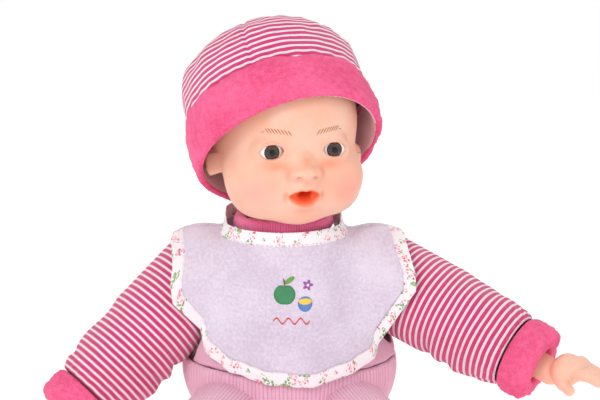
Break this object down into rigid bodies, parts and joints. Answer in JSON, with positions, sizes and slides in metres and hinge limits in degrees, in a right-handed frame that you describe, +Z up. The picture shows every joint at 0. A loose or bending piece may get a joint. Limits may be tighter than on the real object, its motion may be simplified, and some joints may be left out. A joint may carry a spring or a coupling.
{
  "type": "interactive baby doll",
  "caption": "Soft-bodied seated baby doll with a vinyl head, hands and feet, a striped hat, a bib and a sound module pressed through its belly.",
  "frame": {"origin": "centre of the flat seat, on the floor the doll sits on", "axes": "+Z up, the doll faces -Y, +X towards the doll's left"},
  "size_m": [0.3728, 0.2474, 0.2777],
  "materials": {
    "vinyl_skin": "satin",
    "eye": "gloss",
    "pink_fleece": "matte",
    "striped_jersey": "matte",
    "pale_jersey": "matte",
    "bib_cloth": "matte",
    "bib_binding": "matte",
    "stuffing_cloth": "matte",
    "white_plastic": "satin",
    "black_plastic": "satin",
    "circuit": "satin",
    "paper_cone": "matte",
    "bright_metal": "satin",
    "battery_sleeve": "satin"
  },
  "bodies": {
    "torso": {"cloth_body": "stuffing_cloth", "romper_bodice": "pale_jersey", "romper_seat": "pale_jersey", "bib_panel": "bib_cloth", "bib_neck_binding": "bib_binding", "bib_edge_binding": "bib_binding", "module_case_front": "white_plastic", "module_case_rear": "white_plastic", "circuit_board": "circuit", "press_switch": "black_plastic", "sound_chip": "black_plastic", "button_spring": "bright_metal", "speaker_basket": "black_plastic", "speaker_cone": "paper_cone", "speaker_magnet": "bright_metal", "battery_1": "battery_sleeve", "battery_2": "battery_sleeve", "battery_3": "battery_sleeve", "contact_spring_1": "bright_metal", "contact_spring_2": "bright_metal", "contact_spring_3": "bright_metal", "contact_plate": "bright_metal", "case_screw_left": "bright_metal", "case_screw_right": "bright_metal", "module_wire": "black_plastic"},
    "neck": {"neck_cloth": "stuffing_cloth", "neck_cable_tie": "white_plastic", "collar_band": "pink_fleece"},
    "head": {"head_shell": "vinyl_skin", "eye_left": "eye", "eye_right": "eye", "mouth_tube": "white_plastic", "mouth_switch": "black_plastic", "neck_plug": "white_plastic", "head_wire": "black_plastic"},
    "hat": {"hat_cuff": "pink_fleece", "hat_crown": "striped_jersey"},
    "mouth_plunger": {"mouth_plunger": "white_plastic"},
    "press_button": {"press_button": "white_plastic"},
    "switch_knob": {"switch_knob": "black_plastic"},
    "battery_cover": {"battery_cover": "white_plastic", "battery_cover_screw": "bright_metal"},
    "back_flap": {"back_flap": "pale_jersey"},
    "arm_left": {"sleeve_left": "striped_jersey", "arm_filling_left": "stuffing_cloth", "sleeve_cuff_left": "pink_fleece"},
    "hand_left": {"hand_left": "vinyl_skin"},
    "leg_left": {"trouser_leg_left": "pale_jersey", "leg_filling_left": "stuffing_cloth", "ankle_cuff_left": "pink_fleece"},
    "foot_left": {"foot_left": "vinyl_skin"},
    "arm_right": {"sleeve_right": "striped_jersey", "arm_filling_right": "stuffing_cloth", "sleeve_cuff_right": "pink_fleece"},
    "hand_right": {"hand_right": "vinyl_skin"},
    "leg_right": {"trouser_leg_right": "pale_jersey", "leg_filling_right": "stuffing_cloth", "ankle_cuff_right": "pink_fleece"},
    "foot_right": {"foot_right": "vinyl_skin"}
  },
  "joints": [
    {"name": "head_nod", "type": "hinge", "parent": "torso", "child": "neck", "pos_m": [-0.004, 0.004, 0.143], "axis": [1, 0, 0], "range_deg": [-8, 8]},
    {"name": "head_turn", "type": "hinge", "parent": "neck", "child": "head", "pos_m": [-0.004, 0.004, 0.153], "axis": [0, 0, 1], "range_deg": [-75, 44]},
    {"name": "hat_lift", "type": "slide", "parent": "head", "child": "hat", "axis": [-0.2537, 0.624, 0.7391], "range_m": [0, 0.11]},
    {"name": "mouth_plunger_press", "type": "slide", "parent": "head", "child": "mouth_plunger", "axis": [-0.2672, 0.9636, 0], "range_m": [0, 0.003], "stiffness_N_per_m": 80},
    {"name": "belly_button_press", "type": "slide", "parent": "torso", "child": "press_button", "axis": [0, 1, 0], "range_m": [0, 0.0032], "stiffness_N_per_m": 250, "deforming": ["button_spring"]},
    {"name": "power_switch_slide", "type": "slide", "parent": "torso", "child": "switch_knob", "axis": [1, 0, 0], "range_m": [0, 0.0054]},
    {"name": "battery_cover_lift", "type": "slide", "parent": "torso", "child": "battery_cover", "axis": [0, 1, 0], "range_m": [0, 0.008]},
    {"name": "back_flap_open", "type": "hinge", "parent": "torso", "child": "back_flap", "pos_m": [0, 0.0438, 0.1155], "axis": [1, 0, 0], "range_deg": [0, 110]},
    {"name": "shoulder_left", "type": "hinge", "parent": "torso", "child": "arm_left", "pos_m": [0.056, 0.004, 0.11], "axis": [-0.53, -0.848, 0], "range_deg": [-25, 12]},
    {"name": "wrist_left", "type": "hinge", "parent": "arm_left", "child": "hand_left", "pos_m": [0.14056, -0.04885, 0.07406], "axis": [0.7978, -0.4986, -0.3391], "range_deg": [-45, 45]},
    {"name": "hip_left", "type": "hinge", "parent": "torso", "child": "leg_left", "pos_m": [0.036, -0.03, 0.0272], "axis": [-0.96, -0.28, 0], "range_deg": [-75, 3]},
    {"name": "ankle_left", "type": "hinge", "parent": "leg_left", "child": "foot_left", "pos_m": [0.06399, -0.12598, 0.0252], "axis": [0.2799, -0.9598, -0.02], "range_deg": [-20, 20]},
    {"name": "shoulder_right", "type": "hinge", "parent": "torso", "child": "arm_right", "pos_m": [-0.056, 0.004, 0.11], "axis": [-0.4933, 0.8698, 0], "range_deg": [-5, 20]},
    {"name": "wrist_right", "type": "hinge", "parent": "arm_right", "child": "hand_right", "pos_m": [-0.12692, -0.03622, 0.04226], "axis": [-0.669, -0.3794, -0.6391], "range_deg": [-45, 45]},
    {"name": "hip_right", "type": "hinge", "parent": "torso", "child": "leg_right", "pos_m": [-0.036, -0.03, 0.0272], "axis": [-0.96, 0.28, 0], "range_deg": [-75, 3]},
    {"name": "ankle_right", "type": "hinge", "parent": "leg_right", "child": "foot_right", "pos_m": [-0.06399, -0.12598, 0.0252], "axis": [-0.2799, -0.9598, -0.02], "range_deg": [-20, 20]}
  ]
}
